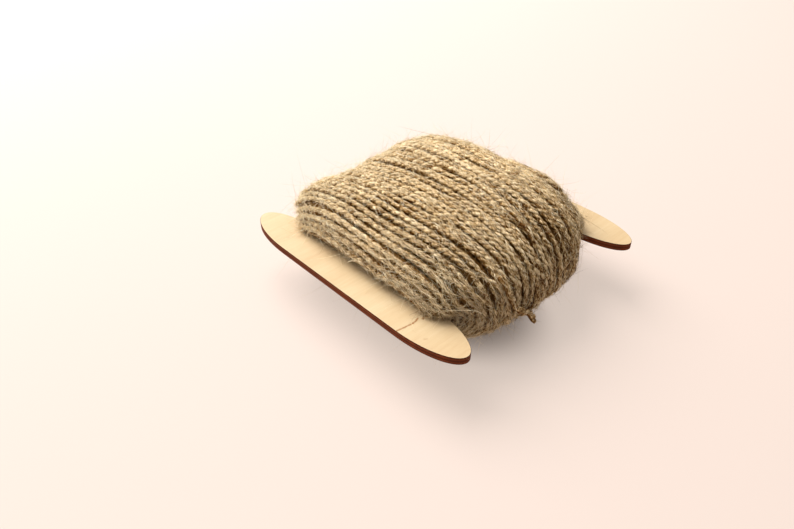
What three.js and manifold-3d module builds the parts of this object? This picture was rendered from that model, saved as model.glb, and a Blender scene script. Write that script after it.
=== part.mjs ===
// A spool of twine: a flat plywood card with two winged ends and jute twine wound round its waist.
// Millimetres, +Z up. X runs along the wings, and Y from the near wing to the far wing.
// The origin is under the middle of the card, on the surface that the winding lies on.
import * as THREE from 'three';
import { mergeVertices } from 'three/addons/utils/BufferGeometryUtils.js';
import Module from 'manifold-3d';

// The card, cut from one sheet of plywood
const CARD_LENGTH = 115;
const PLY = 3;
const CARD_MID_HEIGHT = 22.5;
const WING_LENGTH = 120;
const WING_WIDTH = 18.5;
const WING_END = 26.5;
const WAIST_WIDTH = 56;
const WAIST_FILLET = 5;
const CURVE_STEPS = 8;

// The twine and its turns
const TWINE = 3;
const TURNS = 29;
const TURN_RELIEF = 0.8;
const WINDING_POINTS = 48;
const TOP_SQUARENESS = 2.5;
const BOTTOM_SQUARENESS = 2.3;
const CLEARANCE = 0.3;

// The wound form, a row for each section along the card. Width, top and bottom are measured from
// the card's middle, shift is how far the section lies off centre along X, and skew is how far
// the turns there run along the card for each millimetre across it.
const SECTIONS = [
  { y: -44, halfWidth: 38.5, top: 7, bottom: 6, shift: 0, skew: 0 },
  { y: -42.5, halfWidth: 43.5, top: 12.5, bottom: 10.5, shift: -0.5, skew: 0.005 },
  { y: -40, halfWidth: 47, top: 17, bottom: 14.5, shift: -1, skew: 0.012 },
  { y: -36, halfWidth: 50.5, top: 21, bottom: 18.5, shift: -1.5, skew: 0.025 },
  { y: -30, halfWidth: 52.5, top: 23, bottom: 21, shift: -1, skew: 0.04 },
  { y: -22, halfWidth: 52.5, top: 23.5, bottom: 23, shift: 0, skew: 0.035 },
  { y: -10, halfWidth: 53, top: 24.5, bottom: 24, shift: 0.5, skew: 0.015 },
  { y: 4, halfWidth: 53.5, top: 26.5, bottom: 24, shift: 0.5, skew: -0.01 },
  { y: 16, halfWidth: 53.5, top: 27, bottom: 24, shift: 0, skew: -0.03 },
  { y: 26, halfWidth: 52, top: 26, bottom: 23.2, shift: 0, skew: -0.05 },
  { y: 34, halfWidth: 47.5, top: 22.5, bottom: 20.5, shift: 1, skew: -0.06 },
  { y: 39, halfWidth: 44, top: 18, bottom: 17, shift: 1, skew: -0.04 },
  { y: 42.5, halfWidth: 41, top: 11.5, bottom: 11.5, shift: 0.5, skew: -0.01 },
  { y: 44, halfWidth: 36.5, top: 5.5, bottom: 5.5, shift: 0, skew: 0 },
];

// Where a turn rides over its neighbours and lifts the outside of the winding
const LUMPS = [
  { x: 24, y: 36, rise: 1.8, spread: 9 },
  { x: -40, y: -31, rise: 0.8, spread: 10 },
];

// The loose end: down the +X side on the last turn, across three turns, and out
const LOOSE_END = [
  [49.4, -21, 37],
  [51.6, -20.7, 34],
  [53.3, -20.1, 30.8],
  [54.3, -19.1, 27.5],
  [54.9, -17.4, 24.4],
  [55.2, -15, 21.7],
  [55.2, -12.1, 19.6],
  [55.1, -9.5, 17.4],
  [55.4, -7.7, 14.9],
  [56, -6.9, 12.4],
];
const LOOSE_END_STEPS = 14;
const LOOSE_END_SIDES = 8;

const wasm = await Module();
wasm.setup();

// A closed geometry as a solid that can be cut
function toSolid(geometry) {
  const bare = geometry.clone();
  bare.deleteAttribute('normal');
  bare.deleteAttribute('uv');
  const merged = mergeVertices(bare);
  return new wasm.Manifold(new wasm.Mesh({
    numProp: 3,
    vertProperties: Float32Array.from(merged.attributes.position.array),
    triVerts: Uint32Array.from(merged.index.array),
  }));
}

function toGeometry(solid) {
  const { vertProperties, triVerts } = solid.getMesh();
  const geometry = new THREE.BufferGeometry();
  geometry.setAttribute('position', new THREE.BufferAttribute(vertProperties, 3));
  geometry.setIndex(new THREE.BufferAttribute(triVerts, 1));
  geometry.computeVertexNormals();
  return geometry;
}

// The card's outline, grown all round by a margin: straight-sided wings with elliptical ends,
// joined by a waist that meets them in concave fillets
function cardShape(margin) {
  const wingEnd = WING_END + margin;
  const wingHalf = WING_WIDTH / 2 + margin;
  const endX = WING_LENGTH / 2 - WING_END;
  const wingY = (CARD_LENGTH - WING_WIDTH) / 2;
  const fillet = WAIST_FILLET - margin;
  const filletX = WAIST_WIDTH / 2 + WAIST_FILLET;
  const filletY = CARD_LENGTH / 2 - WING_WIDTH - WAIST_FILLET;
  const quarter = Math.PI / 2;

  const shape = new THREE.Shape();
  shape.moveTo(-endX, -wingY - wingHalf);
  shape.lineTo(endX, -wingY - wingHalf);
  shape.absellipse(endX, -wingY, wingEnd, wingHalf, -quarter, quarter, false);
  shape.absarc(filletX, -filletY, fillet, -quarter, -2 * quarter, true);
  shape.absarc(filletX, filletY, fillet, 2 * quarter, quarter, true);
  shape.absellipse(endX, wingY, wingEnd, wingHalf, -quarter, quarter, false);
  shape.lineTo(-endX, wingY + wingHalf);
  shape.absellipse(-endX, wingY, wingEnd, wingHalf, quarter, 3 * quarter, false);
  shape.absarc(-filletX, filletY, fillet, quarter, 0, true);
  shape.absarc(-filletX, -filletY, fillet, 0, -quarter, true);
  shape.absellipse(-endX, -wingY, wingEnd, wingHalf, quarter, 3 * quarter, false);
  return shape;
}

function cardGeometry(margin = 0) {
  const thickness = PLY + 2 * margin;
  const geometry = new THREE.ExtrudeGeometry(cardShape(margin), {
    depth: thickness,
    bevelEnabled: false,
    curveSegments: CURVE_STEPS,
  });
  return geometry.translate(0, 0, CARD_MID_HEIGHT - thickness / 2);
}

// Smooth values of the section table at any place along the card
const SECTION_COLUMNS = ['halfWidth', 'top', 'bottom', 'shift', 'skew'];
const sectionCurve = new THREE.CubicInterpolant(
  SECTIONS.map((row) => row.y),
  SECTIONS.flatMap((row) => SECTION_COLUMNS.map((column) => row[column])),
  SECTION_COLUMNS.length,
);

function sectionAt(y) {
  const values = sectionCurve.evaluate(y);
  return Object.fromEntries(SECTION_COLUMNS.map((column, index) => [column, values[index]]));
}

function signedPower(value, power) {
  return Math.sign(value) * Math.abs(value) ** power;
}

// A point on a section's rounded oval, drawn in by the groove beside a turn
function ovalPoint(section, angle, groove) {
  const isTop = Math.sin(angle) > 0;
  const power = 2 / (isTop ? TOP_SQUARENESS : BOTTOM_SQUARENESS);
  const height = isTop ? section.top : section.bottom;
  return {
    x: section.shift + (section.halfWidth - groove) * signedPower(Math.cos(angle), power),
    z: (height - groove) * signedPower(Math.sin(angle), power),
  };
}

function lumpRise(x, y) {
  return LUMPS.reduce((sum, lump) => {
    const away = Math.hypot(x - lump.x, y - lump.y) / lump.spread;
    return sum + lump.rise * Math.exp(-away * away);
  }, 0);
}

// A point of the winding: the turns lean by their skew, and lie flat on the surface below
function windingPoint(ringY, angle, groove) {
  const ring = sectionAt(ringY);
  const y = ringY + ring.skew * ovalPoint(ring, angle, groove).x;
  const point = ovalPoint(sectionAt(y), angle, groove);
  const rise = point.z > 0 ? lumpRise(point.x, y) : 0;
  return [point.x, y, Math.max(CARD_MID_HEIGHT + point.z + rise, 0)];
}

// The wound form, a ring of points on the crest of each turn and in the groove on each side of it
function windingGeometry() {
  const firstY = SECTIONS[0].y;
  const lastY = SECTIONS[SECTIONS.length - 1].y;
  const rings = 2 * TURNS + 1;
  const positions = [];
  for (let ring = 0; ring < rings; ring += 1) {
    const y = THREE.MathUtils.lerp(firstY, lastY, ring / (rings - 1));
    const groove = ring % 2 === 0 ? TURN_RELIEF : 0;
    for (let step = 0; step < WINDING_POINTS; step += 1) {
      positions.push(...windingPoint(y, (2 * Math.PI * step) / WINDING_POINTS, groove));
    }
  }
  const nearCentre = positions.length / 3;
  positions.push(0, firstY, CARD_MID_HEIGHT, 0, lastY, CARD_MID_HEIGHT);
  const farCentre = nearCentre + 1;

  const triangles = [];
  for (let step = 0; step < WINDING_POINTS; step += 1) {
    const next = (step + 1) % WINDING_POINTS;
    for (let ring = 0; ring < rings - 1; ring += 1) {
      const here = ring * WINDING_POINTS;
      const beyond = here + WINDING_POINTS;
      triangles.push(here + step, beyond + step, here + next);
      triangles.push(here + next, beyond + step, beyond + next);
    }
    const last = (rings - 1) * WINDING_POINTS;
    triangles.push(nearCentre, step, next);
    triangles.push(farCentre, last + next, last + step);
  }

  const geometry = new THREE.BufferGeometry();
  geometry.setAttribute('position', new THREE.Float32BufferAttribute(positions, 3));
  geometry.setIndex(triangles);
  return geometry;
}

// The loose end, a round strand along its route
function looseEndGeometry() {
  const section = new THREE.Shape().absarc(0, 0, TWINE / 2, 0, 2 * Math.PI, false);
  const route = new THREE.CatmullRomCurve3(LOOSE_END.map((point) => new THREE.Vector3(...point)));
  return new THREE.ExtrudeGeometry(section, {
    extrudePath: route,
    steps: LOOSE_END_STEPS,
    curveSegments: LOOSE_END_SIDES / 2,
  });
}

const plywood = new THREE.MeshStandardMaterial({ color: 0xf3dcb4, roughness: 0.6, metalness: 0 });
const jute = new THREE.MeshStandardMaterial({ color: 0xb89c74, roughness: 0.95, metalness: 0 });

const spool = new THREE.Group();

function addPart(name, geometry, material) {
  const mesh = new THREE.Mesh(geometry, material);
  mesh.name = name;
  spool.add(mesh);
}

const windingSolid = toSolid(windingGeometry()).subtract(toSolid(cardGeometry(CLEARANCE)));

addPart('card', cardGeometry(), plywood);
addPart('winding', toGeometry(windingSolid), jute);
addPart('twine_end', looseEndGeometry(), jute);

export default spool;
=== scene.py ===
"""Twine wound on a flat plywood card: its looks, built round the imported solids.

The axes are those of the solids: X along the wings, Y from the near wing to the far wing, +Z up.
Lengths here are millimetres until a mesh is made, which is in metres.
"""
import math

import bpy
import numpy as np
from mathutils import Matrix, Vector


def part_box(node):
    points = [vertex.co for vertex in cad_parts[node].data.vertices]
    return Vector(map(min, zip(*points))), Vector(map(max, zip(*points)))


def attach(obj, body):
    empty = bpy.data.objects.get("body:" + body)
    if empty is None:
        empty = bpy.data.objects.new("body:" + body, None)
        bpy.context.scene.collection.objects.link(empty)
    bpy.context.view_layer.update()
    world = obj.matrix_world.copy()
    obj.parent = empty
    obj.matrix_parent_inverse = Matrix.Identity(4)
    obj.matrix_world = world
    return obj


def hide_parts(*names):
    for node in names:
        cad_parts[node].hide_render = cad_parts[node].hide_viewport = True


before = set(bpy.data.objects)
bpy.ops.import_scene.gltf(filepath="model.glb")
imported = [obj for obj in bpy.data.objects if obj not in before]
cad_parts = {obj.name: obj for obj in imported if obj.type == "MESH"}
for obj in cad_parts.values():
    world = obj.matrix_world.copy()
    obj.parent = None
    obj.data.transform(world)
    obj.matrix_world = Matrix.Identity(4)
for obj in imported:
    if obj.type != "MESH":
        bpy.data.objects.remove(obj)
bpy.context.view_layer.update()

MM = 0.001

# The card
CARD_LOW, CARD_HIGH = (np.array(corner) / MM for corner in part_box("card"))
WING_LENGTH = CARD_HIGH[0] - CARD_LOW[0]
CARD_LENGTH = CARD_HIGH[1] - CARD_LOW[1]
CARD_BOTTOM, CARD_TOP = CARD_LOW[2], CARD_HIGH[2]
CARD_MID = (CARD_BOTTOM + CARD_TOP) / 2
WING_WIDTH = 18.5
WING_END = 26.5
WAIST_WIDTH = 56
WAIST_FILLET = 5

# The wound form, as in the solids, a row for each section along the card: its place, its half width,
# its reach above and below the card's middle, its shift along X, and the skew of its turns
SECTIONS = np.array([
    (-44, 38.5, 7, 6, 0, 0),
    (-42.5, 43.5, 12.5, 10.5, -0.5, 0.005),
    (-40, 47, 17, 14.5, -1, 0.012),
    (-36, 50.5, 21, 18.5, -1.5, 0.025),
    (-30, 52.5, 23, 21, -1, 0.04),
    (-22, 52.5, 23.5, 23, 0, 0.035),
    (-10, 53, 24.5, 24, 0.5, 0.015),
    (4, 53.5, 26.5, 24, 0.5, -0.01),
    (16, 53.5, 27, 24, 0, -0.03),
    (26, 52, 26, 23.2, 0, -0.05),
    (34, 47.5, 22.5, 20.5, 1, -0.06),
    (39, 44, 18, 17, 1, -0.04),
    (42.5, 41, 11.5, 11.5, 0.5, -0.01),
    (44, 36.5, 5.5, 5.5, 0, 0),
], float)
TOP_SQUARENESS = 2.5
BOTTOM_SQUARENESS = 2.3

# Lumps on the top of it: place along X and Y, rise and spread
LUMPS = np.array([
    (24, 36, 1.8, 9),
    (-40, -31, 0.8, 10),
], float)

# The twine: two plies with a left-handed twist, their fibres lying along the strand, and the streaks
# of the second ply shifted along from those of the first
TWINE = 3.0
PLY_RADIUS = 0.95
PLY_OFFSET = 0.54
PLY_ROUGHNESS = 0.08
LAY = 6.2
TWIST = -1
FIBRE_LEAN = TWIST * PLY_OFFSET / (LAY * PLY_RADIUS)
STEPS_PER_LAY = 8
PLY_SIDES = 5
PLY_SHIFT = 37.0

# Its tone: the middle one, its change for each millimetre along X, which is painted shade, darker
# towards +X and lighter towards -X, how far single points stray from it, and how much darker the groove
# between two turns is drawn, as painted shade
MEAN_TONE = 0.5
PAINTED_SIDE_SHADE = -0.0024
SPECKLE = 0.12
GROOVE_SHADE = 0.45

# How uneven a strand is: the spacing and the amount of each wandering value, and how far whole turns
# lie out of or in the wound form
DRIFT = (20, 0.4)
LIFT = (28, 0.24)
LIFT_SPREAD = 0.26
LIFT_DROP = 0.1
THICKENING = (7, 0.08)
SLOW_TONE = (60, 0.15)
QUICK_TONE = (12, 0.12)
LAY_CHANGE = (40, 0.1)

# The turns: their steps along the crown, with wider ones here and there, their thickness, which is
# less where they bend round the sides, and how far along the card the wings begin to hold them in
TURN_LENGTH = 262
TURN_PITCH = 2.9
STEP_RANGE = (0.9, 1.05)
WIDE_RANGE = (0.1, 0.3)
WIDE_SHARE = 0.35
STEP_SEED = 5
TURN_SLIMNESS = 0.93
SIDE_SLIMMING = 0.2
HELD_FROM = 20

# Turns that ride over their neighbours: how deep their ends lie, how far they rise, and for each the
# angles where it comes up and goes down, in degrees from the +X side, and its place along the card there
OVER_DEPTH = 1.6
OVER_RISE = 3.0
OVER_TURNS = [
    (-60, 50, -22, -36),
    (-50, 40, -12, -27),
    (-70, 25, -30, -24),
    (20, 150, 2, 9),
    (60, 175, -18, -25),
    (-20, 95, 22, 14),
    (110, 250, 30, 20),
    (190, 330, -20, -8),
    (40, 95, 38, 34.5),
    (-62, 12, -10, -3),
    (-55, 25, 4, -5),
    (-65, 5, 8, 15),
]

# The lowest turn at the foot of each end: its place, and how far inside the wound form it lies
FOOT_TURNS = [
    (-43, 1.6),
    (43, 1.1),
]

# The loose end, point by point as in the solids
LOOSE_END = np.array([
    (49.4, -21, 37),
    (51.6, -20.7, 34),
    (53.3, -20.1, 30.8),
    (54.3, -19.1, 27.5),
    (54.9, -17.4, 24.4),
    (55.2, -15, 21.7),
    (55.2, -12.1, 19.6),
    (55.1, -9.5, 17.4),
    (55.4, -7.7, 14.9),
    (56, -6.9, 12.4),
], float)

# The camera: the photograph's place and lens
IMAGE_WIDTH = 794
FOCAL_PIXELS = 694.5
CAMERA_PLACE = (167.1, -177.5, 185.8)
CAMERA_FORWARD = (-0.5932, 0.5400, -0.5971)
CAMERA_ROLL = -0.0038
SENSOR_WIDTH = 36.0


def smooth_curve(knots, values, at):
    """Values at any place between knots, on a smooth curve through them."""
    slopes = np.gradient(values, knots, axis=0)
    i = np.clip(np.searchsorted(knots, at) - 1, 0, len(knots) - 2)
    width = knots[i + 1] - knots[i]
    t = np.clip((at - knots[i]) / width, 0, 1)
    if values.ndim > 1:
        t = t[..., None]
        width = width[..., None]
    return ((2 * t**3 - 3 * t**2 + 1) * values[i] + (t**3 - 2 * t**2 + t) * width * slopes[i]
            + (3 * t**2 - 2 * t**3) * values[i + 1] + (t**3 - t**2) * width * slopes[i + 1])


def unit(vectors):
    return vectors / np.maximum(np.linalg.norm(vectors, axis=-1, keepdims=True), 1e-12)


def arc_lengths(points):
    steps = np.linalg.norm(np.diff(points, axis=0), axis=1)
    return np.concatenate([[0.0], np.cumsum(steps)])


def smooth_noise(rng, at, spacing, amount):
    """A wandering value along a length, with a new random knot every spacing."""
    first = at.min() - spacing
    knots = first + spacing * np.arange(int((at.max() - first) / spacing) + 3)
    return amount * smooth_curve(knots, rng.normal(size=len(knots)), at)


def smooth_step(low, high, value):
    t = np.clip((value - low) / (high - low), 0, 1)
    return t * t * (3 - 2 * t)


# Making meshes from arrays

def mesh_object(name, vertices, faces, material, uvs=None, smooth=True, tones=None):
    """One mesh object from an array of vertices and a list of arrays of faces."""
    mesh = bpy.data.meshes.new(name)
    mesh.vertices.add(len(vertices))
    mesh.vertices.foreach_set("co", (np.asarray(vertices) * MM).astype(np.float32).ravel())
    corners = np.concatenate([f.ravel() for f in faces])
    sizes = np.concatenate([np.full(len(f), f.shape[1]) for f in faces])
    starts = np.concatenate([[0], np.cumsum(sizes)[:-1]])
    mesh.loops.add(len(corners))
    mesh.loops.foreach_set("vertex_index", corners.astype(np.int32))
    mesh.polygons.add(len(sizes))
    mesh.polygons.foreach_set("loop_start", starts.astype(np.int32))
    mesh.polygons.foreach_set("use_smooth", np.full(len(sizes), smooth))
    if uvs is not None:
        layer = mesh.uv_layers.new(name="UVMap")
        layer.data.foreach_set("uv", np.asarray(uvs, np.float32).ravel())
    if tones is not None:
        tone_and_painted_shade = mesh.color_attributes.new("tone_and_painted_shade", "FLOAT_COLOR", "POINT")
        colours = np.stack([tones, tones, tones, np.ones_like(tones)], -1)
        tone_and_painted_shade.data.foreach_set("color", colours.astype(np.float32).ravel())
    mesh.update(calc_edges=True)
    mesh.validate()
    mesh.materials.append(material)
    made = bpy.data.objects.new(name, mesh)
    bpy.context.scene.collection.objects.link(made)
    return made


def add_piece(piece, node):
    """Fix a piece to the body, in place of a solid."""
    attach(piece, "root")
    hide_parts(node)


# The wound form

def section_at(y):
    within = np.clip(y, SECTIONS[0, 0], SECTIONS[-1, 0])
    values = smooth_curve(SECTIONS[:, 0], SECTIONS[:, 1:], within)
    return [values[..., k] for k in range(values.shape[-1])]


def signed_power(value, power):
    return np.sign(value) * np.abs(value) ** power


def held_in(y, angle):
    """A turn's place along the card: at the sides, the wings hold the last turns in."""
    last = SECTIONS[-1, 0]
    inner = CARD_LENGTH / 2 - WING_WIDTH - 0.45 * TWINE
    side = 1 - smooth_step(0.06, 0.4, np.abs(np.sin(angle)))
    near_end = smooth_step(HELD_FROM, last, np.abs(y))
    return y * (1 - near_end * side * (1 - inner / last))


def form_point(y, angle, inset):
    """A point of the wound form at a turn's place and angle, drawn in by inset."""
    half_width, top, bottom, shift, skew = section_at(y)
    cosine, sine = np.cos(angle), np.sin(angle)
    above = sine > 0
    power = 2 / np.where(above, TOP_SQUARENESS, BOTTOM_SQUARENESS)
    x = shift + (half_width - inset) * signed_power(cosine, power)
    z = (np.where(above, top, bottom) - inset) * signed_power(sine, power)
    along = held_in(y, angle) + skew * x
    for lump_x, lump_y, rise, spread in LUMPS:
        away = np.hypot(x - lump_x, along - lump_y) / spread
        z = z + np.where(above, rise * np.exp(-away**2), 0)
    return np.stack([x, along, np.maximum(CARD_MID + z, inset)], -1)


def form_normal(y, angle, inset):
    """The way out of the wound form."""
    small_angle = 1e-3
    small_step = 0.4
    across = form_point(y, angle + small_angle, inset) - form_point(y, angle - small_angle, inset)
    along = form_point(y + small_step, angle, inset) - form_point(y - small_step, angle, inset)
    return unit(np.cross(along, across))


# The twine

# Spots on the outside of the plies where fibres can start: place, way out, and way along the strand.
# They stand off the strand's line by more than a share of its thickness.
skin = []
SKIN_HEIGHT = 0.4


def ply_rings(rng, strand):
    """The two plies of a strand: for each, a ring of points at every step along it, and how deep each
    point lies in the groove beside the strand, from 0 to 1. Its outside is added to the skin."""
    points, lengths = strand["points"], arc_lengths(strand["points"])
    tangents = unit(np.gradient(points, axis=0))
    normals = strand["normals"]
    normals = unit(normals - (normals * tangents).sum(1, keepdims=True) * tangents)
    sideways = np.cross(tangents, normals)
    turned = np.concatenate([[0], np.cumsum(np.diff(lengths) / strand["lay"][1:])])
    around = 2 * np.pi * np.arange(PLY_SIDES) / PLY_SIDES
    rings, depths = [], []
    for ply, thickness in enumerate(strand["thickness"]):
        angle = strand["phase"] + np.pi * ply + TWIST * 2 * np.pi * turned
        reach = np.cos(angle)[:, None] * normals + np.sin(angle)[:, None] * sideways
        centre = points + PLY_OFFSET * thickness[:, None] * reach
        heading = unit(np.gradient(centre, axis=0))
        first = unit(normals - (normals * heading).sum(1, keepdims=True) * heading)
        second = np.cross(heading, first)
        circle = (np.cos(around)[None, :, None] * first[:, None]
                  + np.sin(around)[None, :, None] * second[:, None])
        rough = 1 + PLY_ROUGHNESS * np.clip(rng.normal(size=(len(points), PLY_SIDES)), -2, 2)
        radius = PLY_RADIUS * thickness[:, None] * rough
        ring = centre[:, None] + radius[..., None] * circle
        ring[..., 2] = np.maximum(ring[..., 2], 0)
        rings.append(ring)
        height = ((ring - points[:, None]) * normals[:, None]).sum(-1) / (TWINE * thickness[:, None])
        facing = height > SKIN_HEIGHT
        depths.append(1 - smooth_step(0, SKIN_HEIGHT, height))
        way = np.broadcast_to(tangents[:, None], circle.shape)
        skin.append((ring[facing], circle[facing], way[facing]))
    return rings, depths, lengths


def tube_faces(count, sides, start):
    """Quads between rings of points, and the two end caps."""
    ring = start + sides * np.arange(count - 1)[:, None]
    here = np.arange(sides)[None]
    ahead = (here + 1) % sides
    quads = np.stack([ring + here, ring + ahead, ring + sides + ahead, ring + sides + here], -1)
    last = start + sides * (count - 1)
    caps = np.stack([start + np.arange(sides)[::-1], last + np.arange(sides)])
    return quads.reshape(-1, 4), caps


def tube_uvs(lengths, sides, start_length):
    """Along a tube in centimetres, and round it, leaning so that the fibres lie along the strand."""
    along = (lengths + start_length) / 10
    lean = FIBRE_LEAN * (lengths + start_length)
    here = np.arange(sides) / sides
    ahead = (np.arange(sides) + 1) / sides
    u = np.broadcast_to(along[:, None], (len(along), sides))
    low = here[None] + lean[:, None]
    high = ahead[None] + lean[:, None]
    quads = np.stack([
        np.stack([u[:-1], low[:-1]], -1),
        np.stack([u[:-1], high[:-1]], -1),
        np.stack([u[1:], high[1:]], -1),
        np.stack([u[1:], low[1:]], -1),
    ], 2)
    caps = np.stack([
        np.stack([np.full(sides, along[0]), here], -1),
        np.stack([np.full(sides, along[-1]), here], -1),
    ])
    return quads.reshape(-1, 2), caps.reshape(-1, 2)


def strand_object(rng, name, strands, material):
    """One mesh of strands, each of two twisted plies."""
    vertices, quads, caps, quad_uvs, cap_uvs, tones = [], [], [], [], [], []
    start = 0
    for strand in strands:
        rings, depths, lengths = ply_rings(rng, strand)
        for ply, (ring, depth) in enumerate(zip(rings, depths)):
            quad, cap = tube_faces(len(ring), PLY_SIDES, start)
            quad_uv, cap_uv = tube_uvs(lengths, PLY_SIDES, strand["start"] + PLY_SHIFT * ply)
            vertices.append(ring.reshape(-1, 3))
            quads.append(quad)
            caps.append(cap)
            quad_uvs.append(quad_uv)
            cap_uvs.append(cap_uv)
            speckle = SPECKLE * rng.normal(size=ring.shape[:2])
            # Painted shade: the tone is darker where a point lies deep in the groove beside the strand.
            tones.append((strand["tone"][ply][:, None] + speckle - GROOVE_SHADE * depth).ravel())
            start += ring.shape[0] * PLY_SIDES
    faces = [np.concatenate(quads), np.concatenate(caps)]
    return mesh_object(name, np.concatenate(vertices), faces, material,
                       uvs=np.concatenate(quad_uvs + cap_uvs), tones=np.concatenate(tones))


def turn_places(rng):
    """Where each turn crosses the top: uneven steps along the crown, with a wide one now and then."""
    y = np.linspace(SECTIONS[0, 0], SECTIONS[-1, 0], 400)
    crown = np.stack([y, section_at(y)[1]], -1)
    lengths = arc_lengths(crown)
    count = int(lengths[-1] / TURN_PITCH)
    wide = np.where(rng.random(count) < WIDE_SHARE, rng.uniform(*WIDE_RANGE, count), 0)
    steps = rng.uniform(*STEP_RANGE, count) + wide
    ends = np.cumsum(steps)
    return np.interp((ends - steps / 2) / ends[-1] * lengths[-1], lengths, y)


def shared_drift(points):
    """How far the turns at a place wander along the card together."""
    x, y, z = points.T
    return 0.5 * np.sin(x / 19 + y / 13 + 1) + 0.35 * np.sin(x / 8.5 - y / 9 + z / 10 + 2.2)


def strand_along(rng, points, normals, slim, closing):
    """A strand on a line, a little uneven in place, thickness, twist and tone."""
    lengths = arc_lengths(points)
    tangents = unit(np.gradient(points, axis=0))
    sideways = np.cross(tangents, normals)
    drift = (shared_drift(points) + smooth_noise(rng, lengths, *DRIFT)) * closing
    lift = (rng.normal(0, LIFT_SPREAD) + smooth_noise(rng, lengths, *LIFT) - LIFT_DROP) * closing
    line = points + drift[:, None] * sideways + lift[:, None] * normals
    line[:, 2] = np.maximum(line[:, 2], TWINE / 2)
    return {
        "points": line,
        "normals": normals,
        "thickness": [slim * (1 + smooth_noise(rng, lengths, *THICKENING)) for _ in range(2)],
        # Painted shade in the tone: darker towards +X and lighter towards -X.
        "tone": [MEAN_TONE + PAINTED_SIDE_SHADE * points[:, 0] + smooth_noise(rng, lengths, *SLOW_TONE)
                 + smooth_noise(rng, lengths, *QUICK_TONE) for _ in range(2)],
        "lay": LAY * (1 + smooth_noise(rng, lengths, *LAY_CHANGE)),
        "phase": float(rng.uniform(0, 2 * np.pi)),
        "start": float(rng.uniform(0, 900)),
    }


def side_slimness(angle):
    """How thick a turn is drawn: a little under full, and thinner where it bends round the sides."""
    return TURN_SLIMNESS - SIDE_SLIMMING * smooth_step(0.35, 0.95, np.abs(np.cos(angle)))


def turn_strand(rng, y, next_y, deeper=0):
    """One turn from under the middle, moving to the next turn's place underneath."""
    steps = int(TURN_LENGTH / LAY * STEPS_PER_LAY)
    angle = np.linspace(-0.5 * np.pi, 1.5 * np.pi, steps + 1)
    inset = TWINE / 2 * side_slimness(angle) + deeper
    share = np.linspace(0, 1, steps + 1)
    place = y + (next_y - y) * smooth_step(0.8, 1, share)
    closing = np.sin(np.pi * share) ** 0.5
    return strand_along(rng, form_point(place, angle, inset), form_normal(place, angle, inset),
                        side_slimness(angle), closing)


def over_strand(rng, from_angle, to_angle, from_y, to_y):
    """A stretch of a turn that comes up between its neighbours, rides over them and goes down again."""
    reach = abs(to_angle - from_angle) / 360
    steps = int(reach * TURN_LENGTH / LAY * STEPS_PER_LAY)
    share = np.linspace(0, 1, steps + 1)
    angle = np.radians(from_angle + (to_angle - from_angle) * share)
    place = from_y + (to_y - from_y) * smooth_step(0, 1, share)
    up = smooth_step(0, 0.2, share) * (1 - smooth_step(0.8, 1, share))
    inset = TWINE / 2 + OVER_DEPTH - OVER_RISE * up
    return strand_along(rng, form_point(place, angle, inset), form_normal(place, angle, inset),
                        side_slimness(angle), up)


# Materials

def new_material(name):
    material = bpy.data.materials.new(name)
    material.use_nodes = True
    tree = material.node_tree
    return material, tree, tree.nodes["Principled BSDF"]


def add_node(tree, kind, **values):
    node = tree.nodes.new(kind)
    for key, value in values.items():
        setattr(node, key, value)
    return node


def noise_node(tree, vector, scale, detail=3.0, roughness=0.6):
    node = add_node(tree, "ShaderNodeTexNoise")
    node.inputs["Scale"].default_value = scale
    node.inputs["Detail"].default_value = detail
    node.inputs["Roughness"].default_value = roughness
    tree.links.new(vector, node.inputs["Vector"])
    return node.outputs["Fac"]


def ramp_node(tree, value, stops):
    node = add_node(tree, "ShaderNodeValToRGB")
    ramp = node.color_ramp
    while len(ramp.elements) < len(stops):
        ramp.elements.new(0.5)
    for element, (place, colour) in zip(ramp.elements, stops):
        element.position = place
        element.color = (*colour, 1)
    tree.links.new(value, node.inputs["Fac"])
    return node.outputs["Color"]


def scaled(tree, vector, scale):
    node = add_node(tree, "ShaderNodeMapping")
    node.inputs["Scale"].default_value = scale
    tree.links.new(vector, node.inputs["Vector"])
    return node.outputs["Vector"]


def maths(tree, operation, first, second):
    node = add_node(tree, "ShaderNodeMath", operation=operation)
    for socket, value in zip(node.inputs, (first, second)):
        if isinstance(value, (int, float)):
            socket.default_value = value
        else:
            tree.links.new(value, socket)
    return node.outputs[0]


def weighted(tree, *terms):
    """The sum of values, each times its weight."""
    total = 0.0
    for value, weight in terms:
        total = maths(tree, "ADD", maths(tree, "MULTIPLY", value, weight), total)
    return total


def bump_normal(tree, shader, height, strength, distance):
    bump = add_node(tree, "ShaderNodeBump")
    bump.inputs["Strength"].default_value = strength
    bump.inputs["Distance"].default_value = distance * MM
    tree.links.new(height, bump.inputs["Height"])
    tree.links.new(bump.outputs["Normal"], shader.inputs["Normal"])


def object_place(tree):
    return add_node(tree, "ShaderNodeTexCoord").outputs["Object"]


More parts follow.
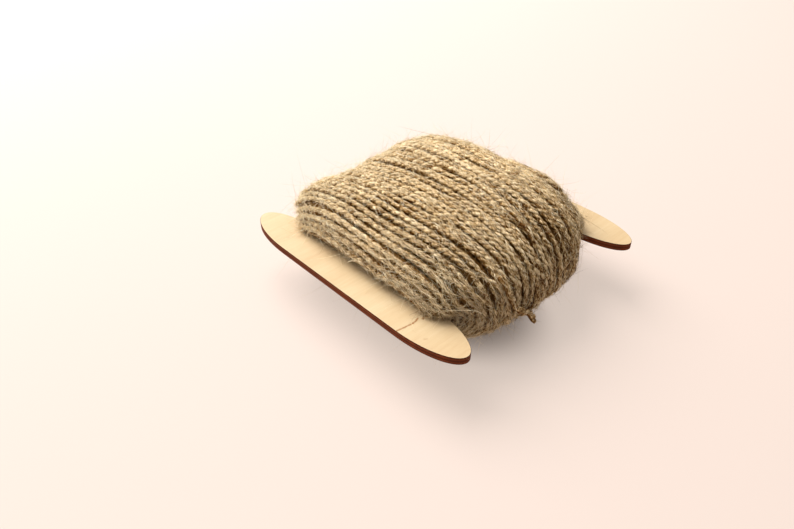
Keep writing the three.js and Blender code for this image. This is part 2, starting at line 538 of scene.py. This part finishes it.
def jute_material():
    """Jute: fine streaks of fibre along the strand, in tones that drift from brown to pale straw, with
    painted shade from the vertex tones: darker in the grooves and towards +X.
    """
    material, tree, shader = new_material("jute")
    uv = add_node(tree, "ShaderNodeUVMap", uv_map="UVMap").outputs["UV"]
    streaks = noise_node(tree, scaled(tree, uv, (9, 11, 1)), 1, 2, 0.7)
    clumps = noise_node(tree, scaled(tree, uv, (3, 3, 1)), 1, 2, 0.5)
    # The vertex tones hold the strand's own tone and painted shade, darker in the grooves and towards
    # +X.
    drift = add_node(tree, "ShaderNodeVertexColor", layer_name="tone_and_painted_shade").outputs["Color"]
    tone = weighted(tree, (streaks, 2.0), (clumps, 0.35), (drift, 0.7))
    tone = maths(tree, "SUBTRACT", tone, 0.98)
    colour = ramp_node(tree, tone, [(0.1, (0.1, 0.036, 0.006)), (0.32, (0.4, 0.24, 0.09)),
                                    (0.55, (0.79, 0.6, 0.35)), (0.85, (0.93, 0.77, 0.52))])
    tree.links.new(colour, shader.inputs["Base Color"])
    bump_normal(tree, shader, streaks, 1.0, 0.6)
    shader.inputs["Roughness"].default_value = 0.85
    shader.inputs["Specular IOR Level"].default_value = 0.05
    return material


def painted_shade_under_material():
    """The layer of twine below, seen only in the gaps between turns, in a far darker brown than the
    turns as painted shade for the gaps.
    """
    material, tree, shader = new_material("jute_below_painted_shade")
    mottle = noise_node(tree, object_place(tree), 900, 3, 0.6)
    # Painted shade: a far darker brown than the jute above, for the gaps; the mottle is the twine's own
    # unevenness.
    colour = ramp_node(tree, mottle, [(0.3, (0.08, 0.03, 0.004)), (0.7, (0.26, 0.125, 0.032))])
    tree.links.new(colour, shader.inputs["Base Color"])
    shader.inputs["Roughness"].default_value = 0.95
    shader.inputs["Specular IOR Level"].default_value = 0.05
    return material


def fibre_material():
    material, tree, shader = new_material("jute_fibre")
    # The vertex tones hold each fibre's own random tone and painted shade, darker towards +X.
    drift = add_node(tree, "ShaderNodeVertexColor", layer_name="tone_and_painted_shade").outputs["Color"]
    colour = ramp_node(tree, drift, [(0.0, (0.16, 0.075, 0.02)), (0.25, (0.6, 0.42, 0.2)),
                                     (0.5, (0.93, 0.75, 0.475)), (1.0, (0.98, 0.9, 0.69))])
    tree.links.new(colour, shader.inputs["Base Color"])
    shader.inputs["Roughness"].default_value = 0.6
    shader.inputs["Specular IOR Level"].default_value = 0.05
    return material


def vector_maths(tree, operation, first, second):
    node = add_node(tree, "ShaderNodeVectorMath", operation=operation)
    tree.links.new(first, node.inputs[0])
    if isinstance(second, bpy.types.NodeSocket):
        tree.links.new(second, node.inputs[1])
    else:
        node.inputs[1].default_value = second
    return node.outputs


def line_distance(tree, place, start, end):
    """How far a place on the card is from a straight stretch between two points."""
    start, end = np.array([*start, 0.0]), np.array([*end, 0.0])
    run = end - start
    away = vector_maths(tree, "SUBTRACT", place, start)["Vector"]
    share = vector_maths(tree, "DOT_PRODUCT", away, run / (run @ run))["Value"]
    clamp = add_node(tree, "ShaderNodeClamp")
    tree.links.new(share, clamp.inputs["Value"])
    foot = add_node(tree, "ShaderNodeVectorMath", operation="SCALE")
    foot.inputs[0].default_value = run
    tree.links.new(clamp.outputs[0], foot.inputs["Scale"])
    return vector_maths(tree, "DISTANCE", away, foot.outputs["Vector"])["Value"]


def eased(tree, value, low, high, first, last):
    """Smoothly from first, where a value is low, to last, where it is high."""
    node = add_node(tree, "ShaderNodeMapRange", interpolation_type="SMOOTHSTEP")
    node.inputs["From Min"].default_value = low
    node.inputs["From Max"].default_value = high
    node.inputs["To Min"].default_value = first
    node.inputs["To Max"].default_value = last
    tree.links.new(value, node.inputs["Value"])
    return node.outputs["Result"]


def mixed(tree, share, first, second):
    """One colour over another, by a share."""
    node = add_node(tree, "ShaderNodeMix", data_type="RGBA")
    tree.links.new(share, node.inputs["Factor"])
    tree.links.new(first, node.inputs["A"])
    node.inputs["B"].default_value = (*second, 1)
    return node.outputs["Result"]


# Marks in the wood of the near wing: lines from point to point, with their width and strength
VEINS = [
    ([(34.6, -57.4), (35.1, -54.4), (35.6, -50.3), (35.4, -48.6), (34.8, -47.2)], 0.6, 0.95),
    ([(36.2, -46.1), (35.8, -43.7), (35.4, -41.3)], 0.9, 0.9),
    ([(30.5, -40.9), (34.2, -40.1)], 2.2, 0.6),
    ([(44.3, -53.0), (44.7, -52.4)], 0.8, 0.35),
]


def wood_material():
    """Birch plywood, bare on its faces: pale, with faint grain along the card and a few brown veins."""
    material, tree, shader = new_material("birch_face")
    place = object_place(tree)
    grain = noise_node(tree, scaled(tree, place, (900, 50, 50)), 1, 4, 0.65)
    cloud = noise_node(tree, scaled(tree, place, (70, 16, 16)), 1, 2, 0.5)
    fleck = noise_node(tree, scaled(tree, place, (2600, 420, 420)), 1, 1, 0.5)
    tone = weighted(tree, (grain, 0.4), (cloud, 0.5), (fleck, 0.1))
    colour = ramp_node(tree, tone, [(0.3, (0.46, 0.31, 0.162)), (0.5, (0.515, 0.375, 0.213)),
                                    (0.7, (0.56, 0.43, 0.262))])
    flat = scaled(tree, place, (1 / MM, 1 / MM, 0))
    wobble = noise_node(tree, flat, 0.9, 2, 0.5)
    for points, width, strength in VEINS:
        for start, end in zip(points, points[1:]):
            distance = maths(tree, "ADD", line_distance(tree, flat, start, end),
                             maths(tree, "MULTIPLY", maths(tree, "SUBTRACT", wobble, 0.5), width))
            share = maths(tree, "MULTIPLY", eased(tree, distance, 0, width, 1, 0), strength)
            colour = mixed(tree, share, colour, (0.26, 0.115, 0.03))
    tree.links.new(colour, shader.inputs["Base Color"])
    bump_normal(tree, shader, grain, 0.15, 0.05)
    shader.inputs["Roughness"].default_value = 0.5
    shader.inputs["Specular IOR Level"].default_value = 0.3
    return material


def burnt_material():
    """The card's cut edge, browned by the laser, darkest along both corners and the glue lines."""
    material, tree, shader = new_material("burnt_edge")
    place = object_place(tree)
    height = add_node(tree, "ShaderNodeSeparateXYZ")
    tree.links.new(scaled(tree, place, (1, 1, 1 / MM)), height.inputs["Vector"])
    level = maths(tree, "DIVIDE", maths(tree, "SUBTRACT", height.outputs["Z"], float(CARD_BOTTOM)),
                  float(CARD_TOP - CARD_BOTTOM))
    layers = ramp_node(tree, level, [
        (0.0, (0.03, 0.004, 0.001)), (0.16, (0.23, 0.05, 0.012)), (0.34, (0.27, 0.062, 0.017)),
        (0.38, (0.13, 0.024, 0.005)), (0.62, (0.15, 0.03, 0.007)), (0.66, (0.27, 0.062, 0.017)),
        (0.84, (0.23, 0.05, 0.012)), (1.0, (0.03, 0.004, 0.001)),
    ])
    char = noise_node(tree, scaled(tree, place, (260, 260, 60)), 1, 3, 0.6)
    colour = mixed(tree, maths(tree, "MULTIPLY", char, 0.7), layers, (0.03, 0.006, 0.002))
    tree.links.new(colour, shader.inputs["Base Color"])
    bump_normal(tree, shader, char, 0.4, 0.1)
    shader.inputs["Roughness"].default_value = 0.7
    shader.inputs["Specular IOR Level"].default_value = 0.1
    return material


# The camera

def make_camera():
    data = bpy.data.cameras.new("camera")
    data.sensor_width = SENSOR_WIDTH
    data.lens = FOCAL_PIXELS / IMAGE_WIDTH * SENSOR_WIDTH
    data.clip_start = 0.01
    data.clip_end = 20
    camera = bpy.data.objects.new("camera", data)
    bpy.context.scene.collection.objects.link(camera)
    forward = Vector(CAMERA_FORWARD).normalized()
    turn = forward.to_track_quat("-Z", "Y").to_matrix()
    roll = Matrix.Rotation(CAMERA_ROLL, 3, "Z")
    camera.matrix_world = Matrix.Translation(Vector(CAMERA_PLACE) * MM) @ (turn @ roll).to_4x4()
    bpy.context.scene.camera = camera


make_camera()

SEED = 20
rng = np.random.default_rng(SEED)
jute = jute_material()


# The loose end

def make_loose_end():
    lengths = arc_lengths(LOOSE_END)
    at = np.linspace(0, lengths[-1], int(lengths[-1] / LAY * STEPS_PER_LAY))
    points = smooth_curve(lengths, LOOSE_END, at)
    even = np.ones(len(at))
    strand = {
        "points": points,
        "normals": np.repeat(np.array([[1.0, 0.0, 0.3]]), len(at), 0),
        "thickness": [even, even],
        "tone": [0.2 * even, 0.28 * even],
        "lay": LAY * even,
        "phase": 0.0,
        "start": 0.0,
    }
    piece = strand_object(rng, "loose_end", [strand], jute)
    add_piece(piece, "twine_end")


make_loose_end()
loose_spots = sum(len(places) for places, _, _ in skin)


# The winding

def make_turns(places):
    """The turns of the outer layer, in three pieces along the card, and those that ride over it."""
    following = np.append(places[1:], places[-1])
    strands = [turn_strand(rng, y, next_y) for y, next_y in zip(places, following)]
    near_foot, far_foot = (turn_strand(rng, y, y, deeper) for y, deeper in FOOT_TURNS)
    near, middle, far = ([strands[k] for k in third]
                         for third in np.array_split(np.arange(len(strands)), 3))
    groups = {
        "turns_near": near + [near_foot],
        "turns_middle": middle,
        "turns_far": far + [far_foot],
    }
    for name, group in groups.items():
        add_piece(strand_object(rng, name, group, jute), "winding")
    over = [over_strand(rng, *row) for row in OVER_TURNS]
    add_piece(strand_object(rng, "turns_over", over, jute), "winding")


UNDER_SIDES = 6
UNDER_STEPS = 72
UNDER_DEPTH = 2.6


def make_under_layer(places):
    """The layer below as plain rings of twine, dark in the gaps as painted shade."""
    inset = TWINE / 2 + UNDER_DEPTH
    angle = np.linspace(-0.5 * np.pi, 1.5 * np.pi, UNDER_STEPS + 1)[:-1]
    around = 2 * np.pi * np.arange(UNDER_SIDES) / UNDER_SIDES
    here = np.arange(UNDER_STEPS)[:, None] * UNDER_SIDES
    ahead = np.roll(here, -1, 0)
    side = np.arange(UNDER_SIDES)[None]
    next_side = (side + 1) % UNDER_SIDES
    ring_quads = np.stack([here + side, here + next_side, ahead + next_side, ahead + side], -1)
    vertices, quads = [], []
    for k, y in enumerate((places[1:] + places[:-1]) / 2):
        place = np.full(UNDER_STEPS, y)
        points = form_point(place, angle, inset)
        normals = form_normal(place, angle, inset)
        tangents = unit(np.roll(points, -1, 0) - np.roll(points, 1, 0))
        sideways = np.cross(tangents, normals)
        circle = (np.cos(around)[None, :, None] * normals[:, None]
                  + np.sin(around)[None, :, None] * sideways[:, None])
        vertices.append((points[:, None] + TWINE / 2 * circle).reshape(-1, 3))
        quads.append(k * UNDER_STEPS * UNDER_SIDES + ring_quads.reshape(-1, 4))
    faces = [np.concatenate(quads)]
    piece = mesh_object("turns_below", np.concatenate(vertices), faces, painted_shade_under_material())
    add_piece(piece, "winding")


places = turn_places(np.random.default_rng(STEP_SEED))
make_turns(places)
make_under_layer(places)


# Loose fibres: fewer on the +X side and low down, over the ranges of places given, more at both ends
# and on the loose end, and all of them kept in a box
BARE_SIDE = 0.72
SIDE_X = (20, 48)
SIDE_Y = (-36, -14)
BARE_BELOW = 0.6
BELOW_Z = (14, 4)
END_FUZZ = 1.6
END_Y = (28, 42)
FRAY = 2
HAIR_LOW = (-71, -68, 0.15)
HAIR_HIGH = (71, 68, 58.5)
HAIR_SIDES = 3
LEAST_RISE = 0.03
LENGTH_SPREAD = 0.4
THICKNESS_RANGE = (0.7, 1.4)
TIP_TAPER = 0.6


def fibre_roots(count):
    """Spots on the plies for fibres to start from, with the way out of the ply and the way along it."""
    places, outward, along = (np.concatenate(column) for column in zip(*skin))
    x, y, z = places.T
    share = 1 - BARE_SIDE * smooth_step(*SIDE_X, x) * smooth_step(*SIDE_Y, y)
    share *= 1 - BARE_BELOW * smooth_step(*BELOW_Z, z)
    share *= 1 + END_FUZZ * smooth_step(*END_Y, np.abs(y))
    share[:loose_spots] *= FRAY
    spot = rng.choice(len(places), count, p=share / share.sum())
    return places[spot], outward[spot], along[spot]


def fibre_faces(count, rings):
    """Faces of many threads, each of some rings of points and a tip: quads, and triangles."""
    body = rings * HAIR_SIDES
    start = (body + 1) * np.arange(count)[:, None]
    quads, triangles = [], []
    for side in range(HAIR_SIDES):
        next_side = (side + 1) % HAIR_SIDES
        for ring in range(0, body - HAIR_SIDES, HAIR_SIDES):
            ahead = ring + HAIR_SIDES
            corners = [ring + side, ring + next_side, ahead + next_side, ahead + side]
            quads.append(start + np.array([corners]))
        last = body - HAIR_SIDES
        triangles.append(start + np.array([[last + side, last + next_side, body]]))
    triangles.append(start + np.arange(HAIR_SIDES)[::-1][None])
    return [np.concatenate(quads), np.concatenate(triangles)]


def make_fibres(name, material, count, rings, length, thickness, rise, fan, curl):
    """Fine fibres on the twine, each a thin tapered thread that lies at an angle of about fan to its
    strand, rises off it and curls."""
    base, out, along = fibre_roots(count)
    side = np.cross(along, out)
    turn = np.pi * rng.integers(0, 2, count)[:, None] + rng.normal(0, fan, count)[:, None]
    climb = np.abs(rng.normal(0, rise, count))[:, None] + LEAST_RISE
    heading = unit(np.cos(turn) * along + np.sin(turn) * side + climb * out)
    bend = rng.normal(0, curl, (count, 3))
    twirl = rng.normal(0, curl, (count, 3))
    reach = rng.lognormal(math.log(length), LENGTH_SPREAD, count)[:, None, None]
    t = np.linspace(0, 1, rings + 1)[None, :, None]
    line = base[:, None] + reach * (t * heading[:, None] + t**2 * bend[:, None] + t**3 * twirl[:, None])
    line = np.clip(line, HAIR_LOW, HAIR_HIGH)
    first = unit(np.cross(heading, rng.normal(size=(count, 3))))
    second = np.cross(heading, first)
    around = 2 * np.pi * np.arange(HAIR_SIDES) / HAIR_SIDES
    circle = (np.cos(around)[None, :, None] * first[:, None]
              + np.sin(around)[None, :, None] * second[:, None])
    taper = np.linspace(1, TIP_TAPER, rings)[None, :, None, None]
    radius = (thickness / 2 * rng.uniform(*THICKNESS_RANGE, count))[:, None, None, None]
    threads = line[:, :-1, None] + radius * taper * circle[:, None]
    vertices = np.concatenate([threads.reshape(count, -1, 3), line[:, -1:]], 1)
    # Each fibre's own random tone, with painted shade: darker towards +X and lighter towards -X.
    tone = np.clip(rng.random(count) + PAINTED_SIDE_SHADE * base[:, 0], 0, 1)
    tones = np.repeat(tone, rings * HAIR_SIDES + 1)
    faces = fibre_faces(count, rings)
    piece = mesh_object(name, vertices.reshape(-1, 3), faces, material, tones=tones)
    add_piece(piece, "winding")


fibre = fibre_material()
make_fibres("fibres_flat", fibre, count=19500, rings=2, length=2.8, thickness=0.22,
            rise=0.05, fan=0.3, curl=0.05)
make_fibres("fibres_crossing", fibre, count=19500, rings=2, length=2.6, thickness=0.16,
            rise=0.12, fan=0.5, curl=0.12)
make_fibres("fibres_raised", fibre, count=17500, rings=2, length=2.5, thickness=0.08,
            rise=0.5, fan=0.9, curl=0.35)
make_fibres("fibres_long", fibre, count=3300, rings=5, length=5.5, thickness=0.09,
            rise=0.2, fan=0.8, curl=0.5)


# The card

def card_outline(steps):
    """The card's outline, counter-clockwise from above: wings with elliptical ends, and a waist that
    meets them in fillets."""
    end_x = WING_LENGTH / 2 - WING_END
    wing_y = (CARD_LENGTH - WING_WIDTH) / 2
    fillet_x = WAIST_WIDTH / 2 + WAIST_FILLET
    fillet_y = CARD_LENGTH / 2 - WING_WIDTH - WAIST_FILLET
    arcs = [
        (end_x, -wing_y, WING_END, WING_WIDTH / 2, -0.5, 0.5),
        (fillet_x, -fillet_y, WAIST_FILLET, WAIST_FILLET, -0.5, -1),
        (fillet_x, fillet_y, WAIST_FILLET, WAIST_FILLET, 1, 0.5),
        (end_x, wing_y, WING_END, WING_WIDTH / 2, -0.5, 0.5),
        (-end_x, wing_y, WING_END, WING_WIDTH / 2, 0.5, 1.5),
        (-fillet_x, fillet_y, WAIST_FILLET, WAIST_FILLET, 0.5, 0),
        (-fillet_x, -fillet_y, WAIST_FILLET, WAIST_FILLET, 0, -0.5),
        (-end_x, -wing_y, WING_END, WING_WIDTH / 2, 0.5, 1.5),
    ]
    points = []
    for x, y, across, up, first, last in arcs:
        angle = np.pi * np.linspace(first, last, steps)
        points.append(np.stack([x + across * np.cos(angle), y + up * np.sin(angle)], -1))
    return np.concatenate(points)


def make_card():
    """The card, its edges eased a little, with wood on its faces and a burnt edge."""
    outline = card_outline(steps=33)
    heading = np.roll(outline, -1, 0) - np.roll(outline, 1, 0)
    inward = unit(np.stack([-heading[:, 1], heading[:, 0]], -1))
    ease = 0.12
    levels = [(CARD_BOTTOM, ease), (CARD_BOTTOM + ease, 0), (CARD_TOP - ease, 0), (CARD_TOP, ease)]
    count = len(outline)
    rings = [np.column_stack([outline + inset * inward, np.full(count, z)]) for z, inset in levels]
    here = np.arange(count)
    ahead = (here + 1) % count
    low = count * np.arange(len(levels) - 1)[:, None]
    high = low + count
    sides = np.stack([low + here, low + ahead, high + ahead, high + here], -1).reshape(-1, 4)
    top = (len(levels) - 1) * count + here
    faces = [sides, np.array([here[::-1], top])]
    piece = mesh_object("plywood_card", np.concatenate(rings), faces, wood_material(), smooth=False)
    piece.data.materials.append(burnt_material())
    burnt = np.zeros(len(piece.data.polygons), np.int32)
    burnt[:len(sides)] = 1
    piece.data.polygons.foreach_set("material_index", burnt)
    add_piece(piece, "card")


make_card()


# The floor and the light, in metres: the floor glows, a painted light that lifts its shadows, with a
# painted falloff of light towards +X and a painted shadow round the winding's foot, where the glow is
# dimmed

GLOW_MIDDLE = 0.5
PAINTED_SHADOW_SPOT = (0.01, -0.012, 0)
PAINTED_SHADOW_NARROWING = (1, 1.5, 1)
PAINTED_SHADOW_INNER = 0.03
PAINTED_SHADOW_OUTER = 0.056
PAINTED_SHADOW_GLOW = 0.3


def make_floor():
    material, tree, shader = new_material("pale_floor")
    shader.inputs["Base Color"].default_value = (0.25, 0.2, 0.18, 1)
    spot = object_place(tree)
    place = add_node(tree, "ShaderNodeSeparateXYZ")
    tree.links.new(spot, place.inputs["Vector"])
    across = maths(tree, "ADD", place.outputs["X"], GLOW_MIDDLE)
    # Painted falloff of light: the glow is stronger towards -X than towards +X.
    glow = ramp_node(tree, across, [(0.1, (0.687, 0.617, 0.563)), (0.8, (0.507, 0.427, 0.375))])
    tree.links.new(glow, shader.inputs["Emission Color"])
    # Painted shadow: the glow is dimmed round the winding's foot.
    away = vector_maths(tree, "DISTANCE", scaled(tree, spot, PAINTED_SHADOW_NARROWING), PAINTED_SHADOW_SPOT)["Value"]
    strength = eased(tree, away, PAINTED_SHADOW_INNER, PAINTED_SHADOW_OUTER, PAINTED_SHADOW_GLOW, 1)
    tree.links.new(strength, shader.inputs["Emission Strength"])
    shader.inputs["Roughness"].default_value = 0.9
    shader.inputs["Specular IOR Level"].default_value = 0.1
    half = 3000.0
    corners = np.array([(-half, -half, 0), (half, -half, 0), (half, half, 0), (-half, half, 0)])
    floor = mesh_object("floor", corners, [np.array([[0, 1, 2, 3]])], material)


def make_light(name, place, target, size, power, colour):
    data = bpy.data.lights.new(name, "AREA")
    data.shape = "DISK"
    data.size = size
    data.energy = power
    data.color = colour
    light = bpy.data.objects.new(name, data)
    bpy.context.scene.collection.objects.link(light)
    light.location = place
    light.rotation_euler = (Vector(target) - Vector(place)).to_track_quat("-Z", "Y").to_euler()


def make_world(bright_way, dim, bright, colour):
    """Soft light from all round, brighter on one side."""
    world = bpy.data.worlds.new("studio")
    world.use_nodes = True
    tree = world.node_tree
    way = add_node(tree, "ShaderNodeTexCoord").outputs["Generated"]
    towards = vector_maths(tree, "DOT_PRODUCT", way, Vector(bright_way).normalized())["Value"]
    share = maths(tree, "MULTIPLY_ADD", towards, 0.5)
    share.node.inputs[2].default_value = 0.5
    dim_colour = tuple(dim * c for c in colour)
    bright_colour = tuple(bright * c for c in colour)
    glow = ramp_node(tree, share, [(0.2, dim_colour), (0.9, bright_colour)])
    tree.links.new(glow, tree.nodes["Background"].inputs["Color"])
    bpy.context.scene.world = world


make_floor()
make_light("key", place=(-0.82, -0.05, 1.05), target=(0, 0, 0.02), size=1.3, power=36,
           colour=(1, 0.98, 0.94))
make_world(bright_way=(-0.8, 0.05, 0.6), dim=0.02, bright=0.88, colour=(1, 0.97, 0.93))
bpy.context.scene.view_settings.view_transform = "Standard"
